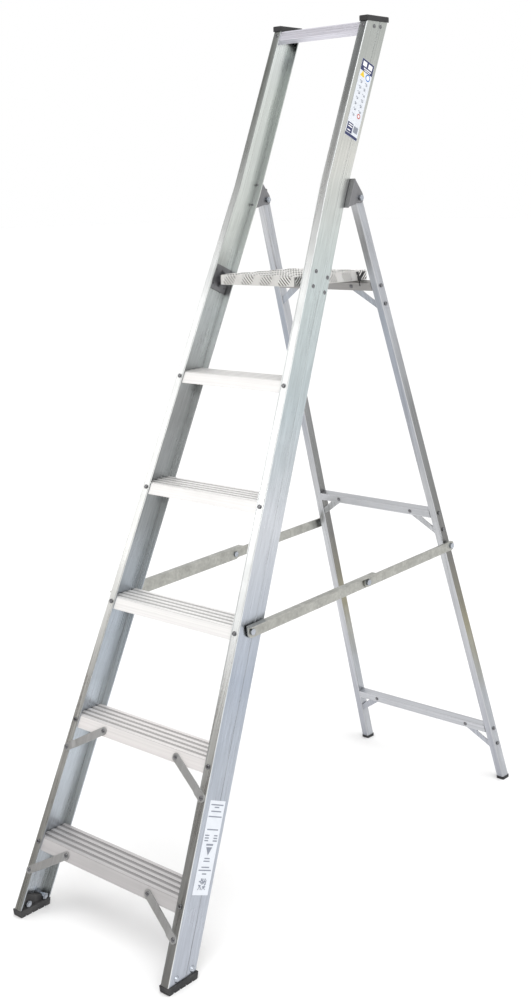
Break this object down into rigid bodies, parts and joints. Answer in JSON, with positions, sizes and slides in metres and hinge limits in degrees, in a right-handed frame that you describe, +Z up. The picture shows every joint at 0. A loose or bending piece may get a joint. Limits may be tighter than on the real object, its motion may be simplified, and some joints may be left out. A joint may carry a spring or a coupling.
{
  "type": "platform step ladder",
  "caption": "Free-standing folding platform step ladder: ribbed treads, tread-plate platform, guard rail, hinged rear frame and folding stays.",
  "frame": {"origin": "on the floor, under the middle of the open ladder's bounding box", "axes": "+Z up; +X to the climber's right; +Y from the climbing side towards the rear frame"},
  "size_m": [0.4618, 1.211, 1.877],
  "materials": {
    "stile_aluminium": "satin mill finish",
    "ribbed_aluminium": "satin extrusion",
    "plate_aluminium": "satin sheet",
    "tube_aluminium": "satin tube",
    "tread_plate": "five-bar pattern",
    "aluminium_rivet": "satin",
    "zinc_steel": "zinc plated",
    "galvanised_steel": "galvanised",
    "black_plastic": "matte",
    "black_rubber": "matte",
    "black_nylon": "satin",
    "label_film": "printed film"
  },
  "bodies": {
    "front_frame": {"left_stile": "stile_aluminium", "right_stile": "stile_aluminium", "tread_1": "ribbed_aluminium", "tread_2": "ribbed_aluminium", "tread_3": "ribbed_aluminium", "tread_4": "ribbed_aluminium", "tread_5": "ribbed_aluminium", "tread_rivets": "aluminium_rivet", "left_knee_brace_1": "plate_aluminium", "left_knee_brace_2": "plate_aluminium", "right_knee_brace_1": "plate_aluminium", "right_knee_brace_2": "plate_aluminium", "knee_brace_rivets": "aluminium_rivet", "top_rail": "ribbed_aluminium", "rail_rivets": "aluminium_rivet", "left_cap": "black_plastic", "right_cap": "black_plastic", "cap_rivets": "aluminium_rivet", "left_foot": "black_rubber", "right_foot": "black_rubber", "foot_bolts": "zinc_steel", "foot_nuts": "zinc_steel", "left_deck_bracket": "plate_aluminium", "right_deck_bracket": "plate_aluminium", "deck_bracket_rivets": "aluminium_rivet", "left_hinge_bracket": "plate_aluminium", "right_hinge_bracket": "plate_aluminium", "hinge_bracket_rivets": "aluminium_rivet", "hinge_bolts": "zinc_steel", "stay_bolts": "zinc_steel", "guidance_label": "label_film", "rating_label": "label_film"},
    "rear_frame": {"left_rear_leg": "tube_aluminium", "right_rear_leg": "tube_aluminium", "left_rear_foot": "black_rubber", "right_rear_foot": "black_rubber", "leg_top_plugs": "black_plastic", "bottom_crossbar": "tube_aluminium", "middle_crossbar": "tube_aluminium", "top_crossbar": "tube_aluminium", "left_bottom_corner_brace": "tube_aluminium", "left_middle_corner_brace": "tube_aluminium", "left_top_corner_brace": "tube_aluminium", "right_bottom_corner_brace": "tube_aluminium", "right_middle_corner_brace": "tube_aluminium", "right_top_corner_brace": "tube_aluminium", "corner_brace_rivets": "aluminium_rivet", "leg_rivets": "aluminium_rivet"},
    "platform": {"platform_deck": "tread_plate", "deck_pins": "zinc_steel", "cable_tie": "black_nylon"},
    "left_stay_front": {"left_stay_front_link": "galvanised_steel", "left_knee_bolt": "zinc_steel"},
    "left_stay_rear": {"left_stay_rear_link": "galvanised_steel", "left_stay_rivet": "zinc_steel"},
    "right_stay_front": {"right_stay_front_link": "galvanised_steel", "right_knee_bolt": "zinc_steel"},
    "right_stay_rear": {"right_stay_rear_link": "galvanised_steel", "right_stay_rivet": "zinc_steel"}
  },
  "joints": [
    {"name": "rear_frame_fold", "type": "hinge", "parent": "front_frame", "child": "rear_frame", "pos_m": [0, 0.12664, 1.4705], "axis": [-1, 0, 0], "range_deg": [0, 40.55]},
    {"name": "platform_lift", "type": "hinge", "parent": "front_frame", "child": "platform", "pos_m": [0, -0.01731, 1.2926], "axis": [1, 0, 0], "range_deg": [0, 67]},
    {"name": "left_stay_pivot", "type": "hinge", "parent": "front_frame", "child": "left_stay_front", "pos_m": [-0.19759, -0.31425, 0.612], "axis": [1, 0, 0], "range_deg": [0, 83.09]},
    {"name": "left_stay_knee", "type": "hinge", "parent": "left_stay_front", "child": "left_stay_rear", "pos_m": [-0.19759, 0.06232, 0.62551], "axis": [-1, 0, 0], "range_deg": [0, 163.3]},
    {"name": "right_stay_pivot", "type": "hinge", "parent": "front_frame", "child": "right_stay_front", "pos_m": [0.19759, -0.31425, 0.612], "axis": [1, 0, 0], "range_deg": [0, 83.09]},
    {"name": "right_stay_knee", "type": "hinge", "parent": "right_stay_front", "child": "right_stay_rear", "pos_m": [0.19759, 0.06232, 0.62551], "axis": [-1, 0, 0], "range_deg": [0, 163.3]}
  ],
  "couplings": [
    {"joint": "platform_lift", "follows": "rear_frame_fold", "ratio": 1.6518},
    {"joint": "left_stay_pivot", "follows": "rear_frame_fold", "ratio": 2.0466},
    {"joint": "left_stay_knee", "follows": "rear_frame_fold", "ratio": 4.0247},
    {"joint": "right_stay_pivot", "follows": "rear_frame_fold", "ratio": 2.0466},
    {"joint": "right_stay_knee", "follows": "rear_frame_fold", "ratio": 4.0247}
  ]
}
